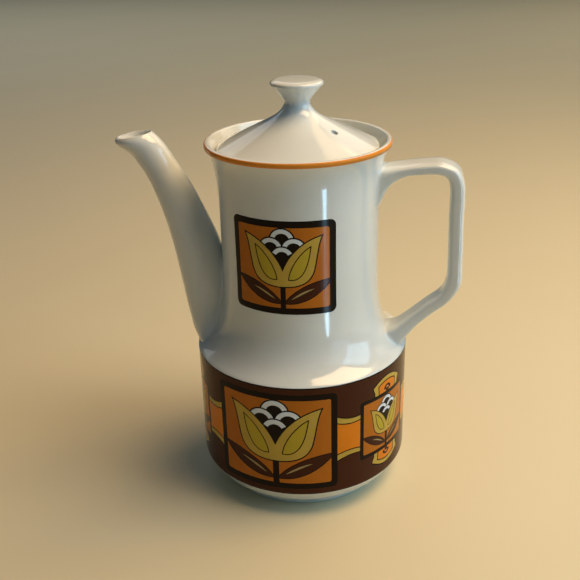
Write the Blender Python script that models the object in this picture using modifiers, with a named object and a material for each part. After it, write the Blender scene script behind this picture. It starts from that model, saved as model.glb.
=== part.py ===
"""Porcelain coffee pot: a body with a spout and a strap handle, a lift-off lid, and its printed decoration.

Units are metres, +Z is up. The spout points along -X and the handle along +X. The origin lies on the
surface that the pot stands on, under the middle of the overall length.
"""

import math

import bmesh
import bpy
from mathutils import Vector

# Overall layout
POT_AXIS_X = 0.0064  # the turned body's axis, forward of the middle because the spout reaches further
GAP = 0.0003  # clearance between neighbouring solids
BODY_STEPS = 48
LID_STEPS = 40
ARC_STEPS = 2
HOLE_SIDES = 12

# Body of the pot: heights and outer radii
DRUM_R = 0.0600
DRUM_BOTTOM_Z = 0.0158
DRUM_TOP_Z = 0.0846
DRUM_FILLET = 0.0050
DRUM_FOOT_R = 0.0556  # where the drum's bottom turns in towards the foot
DRUM_FOOT_Z = 0.0088
SHOULDER_R = 0.0588
NECK_R = 0.0435
LIP_Z = 0.1984
LIP_R = 0.0494
RIM_R = 0.0497
RIM_Z = 0.2012
SHOULDER_REACH = 0.0095  # height over which the shoulder's flare falls to a third
LIP_REACH = 0.0085
FOOT_R = 0.0478
FOOT_Z = 0.0034
FOOT_RING = 0.0045
FOOT_RECESS = 0.0022

# Inside of the pot
WALL = 0.0040
FLOOR_Z = 0.0070
INNER_SHOULDER_Z = 0.0815
LEDGE_Z = 0.1938
LEDGE_R = 0.0439

# Lid
LID_R = 0.0432
LID_EDGE_Z = 0.1977
FLANGE_R = 0.0386
FLANGE_Z = 0.1840
FLANGE_WALL = 0.0032
KNOB_R = 0.0142
KNOB_TOP_Z = 0.2319
STEM_R = 0.0066
STEM_Z = 0.2207
STEM_SWEEP = 0.0042
STEM_REACH = 0.0022
DOME_SLOPE = math.radians(25.96)
VENT_R = 0.0018
VENT_FROM_AXIS = 0.0239
VENT_ANGLE = math.radians(-28)
VENT_DEPTH = 0.0200  # the vent's cutter, longer than the wall is thick

# Spout
SPOUT_WALL = 0.0032
SPOUT_SIDES = 20
STRAINER_HOLE_R = 0.0020
STRAINER_PITCH = 0.0078
STRAINER_Z = 0.1080
STRAINER_FROM_AXIS = 0.0430
STRAINER_DEPTH = 0.0160  # the holes' cutters, longer than the wall is thick

# Handle
HANDLE_SIDES = 16
HANDLE_SQUARENESS = 3.8

# Printed decoration: skins that follow the glaze
SKIN = 0.00025
SKIN_GAP = 0.00015
BAND_BOTTOM_Z = 0.0156
BAND_TOP_Z = 0.0834
PANEL_BOTTOM_Z = 0.1185
PANEL_TOP_Z = 0.1699
PANEL_ANGLE = math.radians(75.4)
PANEL_STEPS = 12
FRONT_PANEL_MIDDLE = math.radians(-92.9)
LINE_BOTTOM_Z = 0.1984
LINE_TOP_Z = 0.1999

PORCELAIN = (0.80, 0.79, 0.74)
BROWN = (0.055, 0.020, 0.012)
ORANGE = (0.52, 0.16, 0.025)
LINE_ORANGE = (0.72, 0.24, 0.05)


def clear_scene():
    for obj in list(bpy.data.objects):
        bpy.data.objects.remove(obj, do_unlink=True)


def new_collection(name):
    collection = bpy.data.collections.new(name)
    bpy.context.scene.collection.children.link(collection)
    return collection


def make_material(name, color, roughness, metallic=0.0):
    material = bpy.data.materials.new(name)
    material.use_nodes = True
    shader = material.node_tree.nodes["Principled BSDF"]
    shader.inputs["Base Color"].default_value = (*color, 1.0)
    shader.inputs["Roughness"].default_value = roughness
    shader.inputs["Metallic"].default_value = metallic
    return material


def arc_corner(before, corner, after, fillet):
    """The points that round one corner of an outline with a fillet of this radius."""
    corner = Vector(corner)
    a = (Vector(before) - corner).normalized()
    b = (Vector(after) - corner).normalized()
    half = a.angle(b) / 2
    reach = fillet / math.tan(half)
    centre = corner + (a + b).normalized() * (fillet / math.sin(half))
    start = corner + a * reach - centre
    end = corner + b * reach - centre
    return [centre + start.slerp(end, i / ARC_STEPS) * fillet for i in range(ARC_STEPS + 1)]


def rounded_outline(corners):
    """Corners are (radius, height) or (radius, height, fillet). The ends of the outline stay sharp."""
    points = []
    for i, corner in enumerate(corners):
        if len(corner) == 2:
            points.append(Vector(corner))
        else:
            points += arc_corner(corners[i - 1][:2], corner[:2], corners[i + 1][:2], corner[2])
    return points


def outer_radius(z, grow=0.0):
    """Radius of the neck and shoulder at a height: a cylinder that flares at both ends."""
    shoulder = (SHOULDER_R - NECK_R) * math.exp((DRUM_TOP_Z - z) / SHOULDER_REACH)
    lip = (LIP_R - NECK_R) * math.exp((z - LIP_Z) / LIP_REACH)
    return NECK_R + shoulder + lip + grow


def inner_radius(z):
    """Radius of the neck's and shoulder's inside at a height."""
    inside = DRUM_R - WALL - (NECK_R - WALL)
    return NECK_R - WALL + inside * math.exp((INNER_SHOULDER_Z - z) / SHOULDER_REACH)


def spaced(low, high, count, power=1.0):
    return [low + (high - low) * (i / (count - 1)) ** power for i in range(count)]


def neck_heights():
    """Heights from the lip down to the drum, closer together where the neck flares."""
    middle = 0.5 * (LIP_Z + DRUM_TOP_Z)
    upper = spaced(LIP_Z, middle, 6, 1.7)
    lower = spaced(DRUM_TOP_Z, middle, 9, 1.7)
    return upper + lower[-2::-1]


def outer_outline(grow=0.0):
    """The outside of the body from the lip down to the foot, pushed outwards by grow."""
    wall = [(outer_radius(z, grow), z + grow * (z < DRUM_TOP_Z + grow)) for z in neck_heights()]
    return wall + [
        (DRUM_R + grow, DRUM_TOP_Z - 0.0010 + grow, 0.0008),
        (DRUM_R + grow, DRUM_BOTTOM_Z, DRUM_FILLET),
        (DRUM_FOOT_R + grow, DRUM_FOOT_Z, 0.0100),
        (FOOT_R + 0.0016 + grow, FOOT_Z, 0.0015),
        (FOOT_R + grow, 0.0024, 0.0010),
    ]


def body_outline():
    inner_heights = spaced(INNER_SHOULDER_Z, 0.150, 6, 1.7)
    inside = [(inner_radius(z), z) for z in inner_heights]
    floor = [
        (0.0, FLOOR_Z),
        (0.0440, FLOOR_Z, 0.0100),
        (0.0540, 0.0150, 0.0080),
        (DRUM_R - WALL, 0.0260, 0.0080),
    ]
    mouth = [
        (NECK_R - WALL, LEDGE_Z, 0.0006),
        (LEDGE_R, LEDGE_Z, 0.0005),
        (0.0448, 0.1962, 0.0040),
        (0.0472, RIM_Z, 0.0011),
        (RIM_R, RIM_Z, 0.0013),
        (RIM_R, LIP_Z + 0.0006, 0.0005),
    ]
    foot = [
        (FOOT_R - 0.0002, 0.0, 0.0007),
        (FOOT_R - FOOT_RING, 0.0, 0.0007),
        (FOOT_R - FOOT_RING - 0.0014, FOOT_RECESS, 0.0008),
        (0.0, FOOT_RECESS),
    ]
    return rounded_outline(floor + inside + mouth + outer_outline() + foot)


def dome_height(radius):
    """Height of the lid's outside at a radius: a cone that sweeps up into the stem of the knob."""
    cone = LID_EDGE_Z + 0.0005 + (LID_R - 0.0010 - radius) * math.tan(DOME_SLOPE)
    return cone + STEM_SWEEP * math.exp((STEM_R - radius) / STEM_REACH)


def lid_outline():
    dome = [(r, dome_height(r)) for r in spaced(STEM_R + 0.0002, LID_R - 0.0026, 9, 1.6)]
    top = [
        (0.0, KNOB_TOP_Z),
        (0.0115, KNOB_TOP_Z - 0.0001, 0.0060),
        (KNOB_R + 0.0006, 0.2303, 0.0013),
        (0.0096, 0.2246, 0.0080),
        (STEM_R - 0.0001, STEM_Z, 0.0030),
    ]
    edge = [
        (LID_R, LID_EDGE_Z, 0.0018),
        (LID_R, LEDGE_Z + GAP, 0.0006),
        (FLANGE_R, LEDGE_Z + GAP),
        (FLANGE_R - 0.0003, FLANGE_Z, 0.0009),
        (FLANGE_R - FLANGE_WALL, FLANGE_Z, 0.0009),
        (FLANGE_R - FLANGE_WALL, 0.1945, 0.0030),
        (0.0080, 0.2103, 0.0060),
        (0.0, 0.2112),
    ]
    return rounded_outline(top + dome + edge)


def turned(name, outline, collection, steps, angle=2 * math.pi):
    """A profile turned about the pot's axis by a Screw modifier."""
    mesh = bpy.data.meshes.new(name)
    points = [(r, 0.0, z) for r, z in outline]
    mesh.from_pydata(points, [(i, i + 1) for i in range(len(points) - 1)], [])
    obj = bpy.data.objects.new(name, mesh)
    collection.objects.link(obj)
    screw = obj.modifiers.new("Turn", "SCREW")
    screw.axis = "Z"
    screw.angle = angle
    screw.steps = steps
    screw.render_steps = steps
    screw.use_merge_vertices = True
    screw.merge_threshold = 0.00001
    screw.use_smooth_shade = True
    return obj


def smooth_through(stations, count):
    """Catmull-Rom interpolation through rows of numbers, giving count rows for each interval."""
    rows = []
    for i in range(len(stations) - 1):
        before = stations[max(i - 1, 0)]
        start, end = stations[i], stations[i + 1]
        after = stations[min(i + 2, len(stations) - 1)]
        for step in range(count):
            t = step / count
            rows.append([
                0.5 * (2 * b + (c - a) * t + (2 * a - 5 * b + 4 * c - d) * t * t
                       + (3 * b - a - 3 * c + d) * t ** 3)
                for a, b, c, d in zip(before, start, end, after)
            ])
    return rows + [list(stations[-1])]


def section(station, sides, squareness, inset=0.0):
    """A ring of points between an outer and an inner point of the XZ plane, with a half-width in Y.

    A squareness of 2 gives an ellipse, and a higher one a rectangle with soft corners.
    """
    outer_x, outer_z, inner_x, inner_z, half_width = station
    centre = Vector(((outer_x + inner_x) / 2, 0, (outer_z + inner_z) / 2))
    across = Vector(((outer_x - inner_x) / 2, 0, (outer_z - inner_z) / 2))
    across *= 1 - inset / across.length
    sideways = Vector((0, half_width - inset, 0))
    ring = []
    for i in range(sides):
        angle = 2 * math.pi * i / sides
        c, s = math.cos(angle), math.sin(angle)
        u = math.copysign(abs(c) ** (2 / squareness), c)
        v = math.copysign(abs(s) ** (2 / squareness), s)
        ring.append(centre + across * u + sideways * v)
    return ring


def loft(name, rings, collection, looped):
    """Skins a row of rings. A looped loft joins its last ring to its first, and another has flat ends."""
    bm = bmesh.new()
    rows = [[bm.verts.new(point) for point in ring] for ring in rings]
    sides = len(rows[0])
    last = len(rows) if looped else len(rows) - 1
    for i in range(last):
        for j in range(sides):
            k = (j + 1) % sides
            after = rows[(i + 1) % len(rows)]
            bm.faces.new((rows[i][j], rows[i][k], after[k], after[j]))
    if not looped:
        bm.faces.new(rows[0][::-1])
        bm.faces.new(rows[-1])
    bmesh.ops.recalc_face_normals(bm, faces=bm.faces)
    mesh = bpy.data.meshes.new(name)
    bm.to_mesh(mesh)
    bm.free()
    mesh.shade_smooth()
    obj = bpy.data.objects.new(name, mesh)
    collection.objects.link(obj)
    return obj


def cut(obj, cutter):
    boolean = obj.modifiers.new("Cut_" + cutter.name, "BOOLEAN")
    boolean.operation = "DIFFERENCE"
    boolean.object = cutter


def as_cutter(obj):
    obj.hide_render = True
    obj.display_type = "WIRE"
    return obj


def make_cylinder(name, radius, length, location, rotation, collection):
    mesh = bpy.data.meshes.new(name)
    bm = bmesh.new()
    bmesh.ops.create_cone(
        bm, cap_ends=True, segments=HOLE_SIDES, radius1=radius, radius2=radius, depth=length
    )
    bm.to_mesh(mesh)
    bm.free()
    obj = bpy.data.objects.new(name, mesh)
    obj.location = location
    obj.rotation_euler = rotation
    collection.objects.link(obj)
    return as_cutter(obj)


def make_fitting_cutter(cutters):
    """The space that the body takes, a gap larger all round: it trims the spout's and handle's roots."""
    outline = [(0.0, LIP_Z + GAP)] + outer_outline(GAP)[:-1] + [(0.0, FOOT_Z)]
    outline[-2] = outline[-2][:2]  # the cutter's lower edge is sharp
    return as_cutter(turned("body_clearance", rounded_outline(outline), cutters, BODY_STEPS))


def make_body(parts, cutters):
    body = turned("pot_body", body_outline(), parts, BODY_STEPS)
    around = [
        (STRAINER_PITCH * math.cos(math.radians(a)), STRAINER_PITCH * math.sin(math.radians(a)))
        for a in range(0, 360, 60)
    ]
    for i, (y, z) in enumerate([(0.0, 0.0)] + around):
        place = (POT_AXIS_X - STRAINER_FROM_AXIS, y, STRAINER_Z + z)
        sideways = (0, math.pi / 2, 0)
        name = f"strainer_hole_{i}"
        hole = make_cylinder(name, STRAINER_HOLE_R, STRAINER_DEPTH, place, sideways, cutters)
        cut(body, hole)
    return body


def make_spout(parts, clearance):
    # Each row: outer edge x, z; inner edge x, z; half-width. The mouth is first and the root last.
    outer = smooth_through([
        (-0.1013, 0.1988, -0.0803, 0.2023, 0.0086),
        (-0.0924, 0.1898, -0.0745, 0.1963, 0.0089),
        (-0.0856, 0.1797, -0.0698, 0.1890, 0.0093),
        (-0.0799, 0.1660, -0.0611, 0.1745, 0.0105),
        (-0.0757, 0.1520, -0.0542, 0.1600, 0.0116),
        (-0.0722, 0.1360, -0.0470, 0.1430, 0.0129),
        (-0.0697, 0.1200, -0.0420, 0.1255, 0.0138),
        (-0.0672, 0.1030, -0.0360, 0.1060, 0.0147),
        (-0.0654, 0.0940, -0.0330, 0.0955, 0.0165),
        (-0.0636, 0.0880, -0.0330, 0.0890, 0.0192),
        (-0.0611, 0.0847, -0.0340, 0.0857, 0.0220),
        (-0.0575, 0.0828, -0.0340, 0.0845, 0.0205),
    ], 2)
    lip = [
        (-0.1004, 0.1996, -0.0810, 0.2029, 0.0078),
        (-0.0992, 0.1992, -0.0818, 0.2024, 0.0070),
        (-0.0935, 0.1958, -0.0824, 0.2000, 0.0052),
        (-0.0899, 0.1915, -0.0806, 0.1955, 0.0046),
    ]
    bore = [section(row, SPOUT_SIDES, 2.0, SPOUT_WALL) for row in outer[4::2]]
    skin = [section(row, SPOUT_SIDES, 2.0) for row in outer]
    mouth = [section(row, SPOUT_SIDES, 2.0) for row in lip]
    spout = loft("spout", skin[::-1] + mouth + bore, parts, looped=True)
    cut(spout, clearance)
    return spout


def make_handle(parts, clearance):
    # Each row: outer edge x, z; inner edge x, z; half-width. The upper root is first.
    stations = smooth_through([
        (0.0390, 0.1872, 0.0390, 0.1602, 0.0108),
        (0.0440, 0.1874, 0.0440, 0.1668, 0.0104),
        (0.0500, 0.1881, 0.0492, 0.1775, 0.0100),
        (0.0575, 0.1892, 0.0570, 0.1829, 0.0097),
        (0.0680, 0.1905, 0.0675, 0.1844, 0.0094),
        (0.0770, 0.1906, 0.0755, 0.1843, 0.0091),
        (0.0845, 0.1872, 0.0787, 0.1825, 0.0086),
        (0.0879, 0.1795, 0.0801, 0.1784, 0.0083),
        (0.0886, 0.1720, 0.0805, 0.1715, 0.0080),
        (0.0886, 0.1600, 0.0806, 0.1600, 0.0077),
        (0.0892, 0.1360, 0.0812, 0.1360, 0.0076),
        (0.0886, 0.1210, 0.0808, 0.1246, 0.0076),
        (0.0840, 0.1135, 0.0786, 0.1182, 0.0076),
        (0.0740, 0.1045, 0.0690, 0.1095, 0.0076),
        (0.0665, 0.0973, 0.0605, 0.1018, 0.0080),
        (0.0612, 0.0905, 0.0540, 0.0965, 0.0088),
        (0.0570, 0.0835, 0.0460, 0.0930, 0.0098),
        (0.0510, 0.0770, 0.0400, 0.0870, 0.0102),
    ], 2)
    rings = [section(row, HANDLE_SIDES, HANDLE_SQUARENESS) for row in stations]
    handle = loft("handle", rings, parts, looped=False)
    cut(handle, clearance)
    return handle


def make_lid(parts, cutters):
    lid = turned("lid", lid_outline(), parts, LID_STEPS)
    vent_x = POT_AXIS_X + VENT_FROM_AXIS * math.cos(VENT_ANGLE)
    vent_y = VENT_FROM_AXIS * math.sin(VENT_ANGLE)
    place = (vent_x, vent_y, dome_height(VENT_FROM_AXIS))
    cut(lid, make_cylinder("vent", VENT_R, VENT_DEPTH, place, (0, 0, 0), cutters))
    return lid


def make_skin(name, outline, parts, steps, angle, start):
    """A printed skin: part of the outside turned through an angle about the axis and thickened outwards."""
    skin = turned(name, outline, parts, steps, angle)
    skin.rotation_euler = (0, 0, start)
    solidify = skin.modifiers.new("Thickness", "SOLIDIFY")
    solidify.thickness = SKIN
    solidify.offset = 1.0
    return skin


def above(outline, z):
    """The part of a falling outline above a height, ended exactly there."""
    kept = [point for point in outline if point[1] > z]
    last, following = kept[-1], outline[len(kept)]
    share = (last[1] - z) / (last[1] - following[1])
    return kept + [(last[0] + (following[0] - last[0]) * share, z)]


def make_decoration(parts):
    full = 2 * math.pi
    drum = rounded_outline([
        (DRUM_R + SKIN_GAP, BAND_TOP_Z),
        (DRUM_R + SKIN_GAP, DRUM_BOTTOM_Z, DRUM_FILLET),
        (DRUM_FOOT_R + SKIN_GAP, DRUM_FOOT_Z),
    ])
    band = above(drum, BAND_BOTTOM_Z)
    made = {"base_band_transfer": make_skin("base_band_transfer", band, parts, BODY_STEPS, full, 0)}
    panel = [
        (outer_radius(z, SKIN_GAP), z) for z in spaced(PANEL_TOP_Z, PANEL_BOTTOM_Z, 9)
    ]
    for name, turn in (("neck_transfer_front", 0.0), ("neck_transfer_back", math.pi)):
        start = FRONT_PANEL_MIDDLE + turn - PANEL_ANGLE / 2
        made[name] = make_skin(name, panel, parts, PANEL_STEPS, PANEL_ANGLE, start)
    line = [
        (RIM_R + SKIN_GAP, LINE_TOP_Z),
        (RIM_R + SKIN_GAP, LINE_BOTTOM_Z),
    ]
    made["rim_line"] = make_skin("rim_line", line, parts, BODY_STEPS, full, 0)
    return made


def main():
    clear_scene()
    parts = new_collection("coffee_pot")
    cutters = new_collection("cutters")
    porcelain = make_material("glazed_porcelain", PORCELAIN, 0.12)
    brown = make_material("brown_transfer", BROWN, 0.18)
    orange = make_material("orange_transfer", ORANGE, 0.18)
    line = make_material("orange_line", LINE_ORANGE, 0.20)

    pot_axis = bpy.data.objects.new("pot_axis", None)
    pot_axis.location = (POT_AXIS_X, 0, 0)
    parts.objects.link(pot_axis)

    clearance = make_fitting_cutter(cutters)
    clearance.location = pot_axis.location
    pieces = {
        "pot_body": (make_body(parts, cutters), porcelain),
        "spout": (make_spout(parts, clearance), porcelain),
        "handle": (make_handle(parts, clearance), porcelain),
        "lid": (make_lid(parts, cutters), porcelain),
    }
    slots = {"base_band_transfer": brown, "rim_line": line}
    for name, skin in make_decoration(parts).items():
        pieces[name] = (skin, slots.get(name, orange))
    for obj, material in pieces.values():
        obj.parent = pot_axis
        obj.data.materials.append(material)


main()
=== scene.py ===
"""Looks for the porcelain coffee pot: glaze, printed enamel and studio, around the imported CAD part.

Units are metres in the CAD part's frame: +Z is up, the spout points along -X and the handle along +X.
"""

import math

import bmesh
import bpy
import numpy as np
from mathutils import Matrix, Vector
from mathutils.geometry import delaunay_2d_cdt


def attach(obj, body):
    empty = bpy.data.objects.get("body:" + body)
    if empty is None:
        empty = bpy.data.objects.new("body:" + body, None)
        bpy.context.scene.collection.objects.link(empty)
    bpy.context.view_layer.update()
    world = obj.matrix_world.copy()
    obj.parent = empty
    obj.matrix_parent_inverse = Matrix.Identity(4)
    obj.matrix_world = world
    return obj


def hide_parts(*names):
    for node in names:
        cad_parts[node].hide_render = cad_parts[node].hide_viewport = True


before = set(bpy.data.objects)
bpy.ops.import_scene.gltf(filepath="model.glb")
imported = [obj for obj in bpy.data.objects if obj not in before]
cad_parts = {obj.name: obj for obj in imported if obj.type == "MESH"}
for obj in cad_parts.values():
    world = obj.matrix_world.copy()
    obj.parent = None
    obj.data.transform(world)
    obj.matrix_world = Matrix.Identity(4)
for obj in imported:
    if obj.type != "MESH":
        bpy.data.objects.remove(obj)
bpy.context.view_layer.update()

# ---------------------------------------------------------------- the pot's measures, as in the CAD part

POT_AXIS_X = 0.0064
GAP = 0.0003
DRUM_R = 0.0600
DRUM_BOTTOM_Z = 0.0158
DRUM_TOP_Z = 0.0846
DRUM_FILLET = 0.0050
DRUM_FOOT_R = 0.0556
DRUM_FOOT_Z = 0.0088
SHOULDER_R = 0.0588
NECK_R = 0.0435
LIP_Z = 0.1984
LIP_R = 0.0494
RIM_R = 0.0497
RIM_Z = 0.2012
SHOULDER_REACH = 0.0095
LIP_REACH = 0.0085
FOOT_R = 0.0478
FOOT_Z = 0.0034
FOOT_RING = 0.0045
FOOT_RECESS = 0.0022
WALL = 0.0040
FLOOR_Z = 0.0070
INNER_SHOULDER_Z = 0.0815
LEDGE_Z = 0.1938
LEDGE_R = 0.0439
LID_R = 0.0432
LID_EDGE_Z = 0.1977
FLANGE_R = 0.0386
FLANGE_Z = 0.1840
FLANGE_WALL = 0.0032
KNOB_R = 0.0142
KNOB_TOP_Z = 0.2319
STEM_R = 0.0066
STEM_Z = 0.2207
STEM_SWEEP = 0.0042
STEM_REACH = 0.0022
DOME_SLOPE = math.radians(25.96)
VENT_R = 0.0018
VENT_FROM_AXIS = 0.0239
VENT_ANGLE = math.radians(-28)
SPOUT_WALL = 0.0032
STRAINER_HOLE_R = 0.0020
STRAINER_PITCH = 0.0078
STRAINER_Z = 0.1080
HANDLE_SQUARENESS = 3.8

# The print
BAND_BOTTOM_Z = 0.0156
BAND_TOP_Z = 0.0834
PANEL_BOTTOM_Z = 0.1185
PANEL_TOP_Z = 0.1699
PANEL_ANGLE = math.radians(75.4)
FRONT_PANEL_MIDDLE = math.radians(-92.9)
BAND_MIDDLE = math.radians(-95.75)
SMALL_PANEL_TURN = math.radians(65.5)
RIBBON_Z = 0.0497
PRINT_PROUD = 0.00010  # the enamel's height above the glaze
PRINT_GRID = 0.0030

# How finely the smooth pieces are made
TURNS = 192
ARC_STEPS = 8
SPOUT_SIDES = 72
HANDLE_SIDES = 72
RING_SPACING = 0.0012
SKIRT_STEPS = 9
SINK = 0.00004  # how far a joint's edge ends under the glaze that it runs into
BURIED = 0.0012  # how deep in the body's wall the hidden end of a joined piece lies
STANDING_Z = 0.00035  # the unglazed standing edge of the foot is lower than this


# ---------------------------------------------------------------- outlines

def arc_corner(before, corner, after, fillet):
    corner = Vector(corner)
    a = (Vector(before) - corner).normalized()
    b = (Vector(after) - corner).normalized()
    half = a.angle(b) / 2
    centre = corner + (a + b).normalized() * (fillet / math.sin(half))
    start = corner + a * (fillet / math.tan(half)) - centre
    end = corner + b * (fillet / math.tan(half)) - centre
    return [tuple(centre + start.slerp(end, i / ARC_STEPS) * fillet) for i in range(ARC_STEPS + 1)]


def rounded_outline(corners):
    """Corners are (radius, height) or (radius, height, fillet)."""
    points = []
    for i, corner in enumerate(corners):
        if len(corner) == 2:
            points.append(tuple(corner))
        else:
            points += arc_corner(corners[i - 1][:2], corner[:2], corners[i + 1][:2], corner[2])
    return points


def outer_radius(z):
    shoulder = (SHOULDER_R - NECK_R) * math.exp((DRUM_TOP_Z - z) / SHOULDER_REACH)
    lip = (LIP_R - NECK_R) * math.exp((z - LIP_Z) / LIP_REACH)
    return NECK_R + shoulder + lip


def inner_radius(z):
    inside = DRUM_R - NECK_R
    return NECK_R - WALL + inside * math.exp((INNER_SHOULDER_Z - z) / SHOULDER_REACH)


def spaced(low, high, count, power=1.0):
    return [low + (high - low) * (i / (count - 1)) ** power for i in range(count)]


def outer_outline():
    middle = 0.5 * (LIP_Z + DRUM_TOP_Z)
    upper = spaced(LIP_Z, middle, 28, 1.5)
    lower = spaced(DRUM_TOP_Z, middle, 36, 1.5)
    wall = [(outer_radius(z), z) for z in upper + lower[-2::-1]]
    return wall + [
        (DRUM_R, DRUM_TOP_Z - 0.0010, 0.0008),
        (DRUM_R, DRUM_BOTTOM_Z, DRUM_FILLET),
        (DRUM_FOOT_R, DRUM_FOOT_Z, 0.0100),
        (FOOT_R + 0.0016, FOOT_Z, 0.0015),
        (FOOT_R, 0.0024, 0.0010),
    ]


def body_outline():
    inside = [(inner_radius(z), z) for z in spaced(INNER_SHOULDER_Z, 0.150, 24, 1.5)]
    floor = [
        (0.0, FLOOR_Z),
        (0.0440, FLOOR_Z, 0.0100),
        (0.0540, 0.0150, 0.0080),
        (DRUM_R - WALL, 0.0260, 0.0080),
    ]
    mouth = [
        (NECK_R - WALL, LEDGE_Z, 0.0006),
        (LEDGE_R, LEDGE_Z, 0.0005),
        (0.0448, 0.1962, 0.0040),
        (0.0472, RIM_Z, 0.0011),
        (RIM_R, RIM_Z, 0.0013),
        (RIM_R, LIP_Z + 0.0006, 0.0005),
    ]
    foot = [
        (FOOT_R - 0.0002, 0.0, 0.0007),
        (FOOT_R - FOOT_RING, 0.0, 0.0007),
        (FOOT_R - FOOT_RING - 0.0014, FOOT_RECESS, 0.0008),
        (0.0, FOOT_RECESS),
    ]
    return rounded_outline(floor + inside + mouth + outer_outline() + foot)


def dome_height(radius):
    cone = LID_EDGE_Z + 0.0005 + (LID_R - 0.0010 - radius) * math.tan(DOME_SLOPE)
    return cone + STEM_SWEEP * math.exp((STEM_R - radius) / STEM_REACH)


def lid_outline():
    dome = [(r, dome_height(r)) for r in spaced(STEM_R + 0.0002, LID_R - 0.0026, 44, 1.5)]
    top = [
        (0.0, KNOB_TOP_Z),
        (0.0115, KNOB_TOP_Z - 0.0001, 0.0060),
        (KNOB_R + 0.0006, 0.2303, 0.0013),
        (0.0096, 0.2246, 0.0080),
        (STEM_R - 0.0001, STEM_Z, 0.0030),
    ]
    edge = [
        (LID_R, LID_EDGE_Z, 0.0018),
        (LID_R, LEDGE_Z + GAP, 0.0006),
        (FLANGE_R, LEDGE_Z + GAP),
        (FLANGE_R - 0.0003, FLANGE_Z, 0.0009),
        (FLANGE_R - FLANGE_WALL, FLANGE_Z, 0.0009),
        (FLANGE_R - FLANGE_WALL, 0.1945, 0.0030),
        (0.0080, 0.2103, 0.0060),
        (0.0, 0.2112),
    ]
    return rounded_outline(top + dome + edge)


# The outside of the body as numbers, for the joints and the print
WALL_OUTLINE = np.array(rounded_outline([(LIP_R, LIP_Z)] + outer_outline()[1:-1] + [(FOOT_R, 0.0024)]))


def on_wall(point):
    """(signed distance, nearest point, normal) of a point to the outside of the body."""
    x, y, z = point[0] - POT_AXIS_X, point[1], point[2]
    r = math.hypot(x, y)
    start, end = WALL_OUTLINE[:-1], WALL_OUTLINE[1:]
    run = end - start
    t = ((r - start[:, 0]) * run[:, 0] + (z - start[:, 1]) * run[:, 1]) / (run ** 2).sum(axis=1)
    foot = start + run * np.clip(t, 0, 1)[:, None]
    away = np.hypot(foot[:, 0] - r, foot[:, 1] - z)
    i = int(away.argmin())
    length = math.hypot(*run[i])
    out_r, out_z = -run[i][1] / length, run[i][0] / length
    side = (r - foot[i][0]) * out_r + (z - foot[i][1]) * out_z
    c, s = x / r, y / r
    nearest = Vector((POT_AXIS_X + foot[i][0] * c, foot[i][0] * s, foot[i][1]))
    return math.copysign(away[i], side), nearest, Vector((out_r * c, out_r * s, out_z))


# ---------------------------------------------------------------- mesh helpers

def new_object(name, mesh):
    obj = bpy.data.objects.new(name, mesh)
    bpy.context.scene.collection.objects.link(obj)
    return obj


def turned(name, outline, closed_ends=True):
    """An outline turned about the pot's axis. It ends on the axis or, without closed_ends, is a loop."""
    bm = bmesh.new()
    rows = []
    for r, z in outline:
        if r < 1e-7:
            rows.append([bm.verts.new((POT_AXIS_X, 0, z))])
            continue
        row = []
        for i in range(TURNS):
            a = 2 * math.pi * i / TURNS
            row.append(bm.verts.new((POT_AXIS_X + r * math.cos(a), r * math.sin(a), z)))
        rows.append(row)
    if not closed_ends:
        rows.append(rows[0])
    for above, below in zip(rows, rows[1:]):
        for i in range(TURNS):
            k = (i + 1) % TURNS
            corners = [ring[n % len(ring)] for ring, n in ((above, i), (above, k), (below, k), (below, i))]
            bm.faces.new(list(dict.fromkeys(corners)))
    bmesh.ops.recalc_face_normals(bm, faces=bm.faces)
    mesh = bpy.data.meshes.new(name)
    bm.to_mesh(mesh)
    bm.free()
    mesh.shade_smooth()
    return new_object(name, mesh)


def drilled(obj, holes):
    """The object with round holes, each (centre, axis, radius, length), and sharp edges there."""
    bm = bmesh.new()
    for centre, axis, radius, length in holes:
        turn = Vector((0, 0, 1)).rotation_difference(Vector(axis)).to_matrix().to_4x4()
        made = bmesh.ops.create_cone(
            bm, cap_ends=True, segments=40, radius1=radius, radius2=radius, depth=length, matrix=turn
        )
        bmesh.ops.translate(bm, verts=made["verts"], vec=centre)
    mesh = bpy.data.meshes.new(obj.name + "_holes")
    bm.to_mesh(mesh)
    bm.free()
    cutter = new_object(obj.name + "_holes", mesh)
    boolean = obj.modifiers.new("Holes", "BOOLEAN")
    boolean.object = cutter
    boolean.operation = "DIFFERENCE"
    graph = bpy.context.evaluated_depsgraph_get()
    result = bpy.data.meshes.new_from_object(obj.evaluated_get(graph))
    obj.modifiers.clear()
    obj.data = result
    bpy.data.objects.remove(cutter)
    result.shade_smooth()
    result.set_sharp_from_angle(angle=math.radians(42))
    return obj


def splined(rows, spacing):
    """Rows of numbers resampled evenly along a smooth curve through them, timed by their distances."""
    rows = np.array(rows, float)
    steps = np.linalg.norm(np.diff(rows[:, :4], axis=0), axis=1)
    times = np.concatenate([[0], np.cumsum(np.maximum(steps, 1e-6))])
    slopes = np.diff(rows, axis=0) / np.diff(times)[:, None]
    tangents = np.empty_like(rows)
    tangents[0], tangents[-1] = slopes[0], slopes[-1]
    before, after = np.diff(times)[:-1, None], np.diff(times)[1:, None]
    tangents[1:-1] = (slopes[:-1] * after + slopes[1:] * before) / (before + after)
    result = []
    for i in range(len(rows) - 1):
        gap = times[i + 1] - times[i]
        count = max(2, math.ceil(gap / 2 / spacing))
        for t in np.arange(count) / count:
            a = 2 * t ** 3 - 3 * t ** 2 + 1
            b = t ** 3 - 2 * t ** 2 + t
            c = -2 * t ** 3 + 3 * t ** 2
            d = t ** 3 - t ** 2
            start = a * rows[i] + b * gap * tangents[i]
            result.append(start + c * rows[i + 1] + d * gap * tangents[i + 1])
    return result + [rows[-1]]


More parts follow.
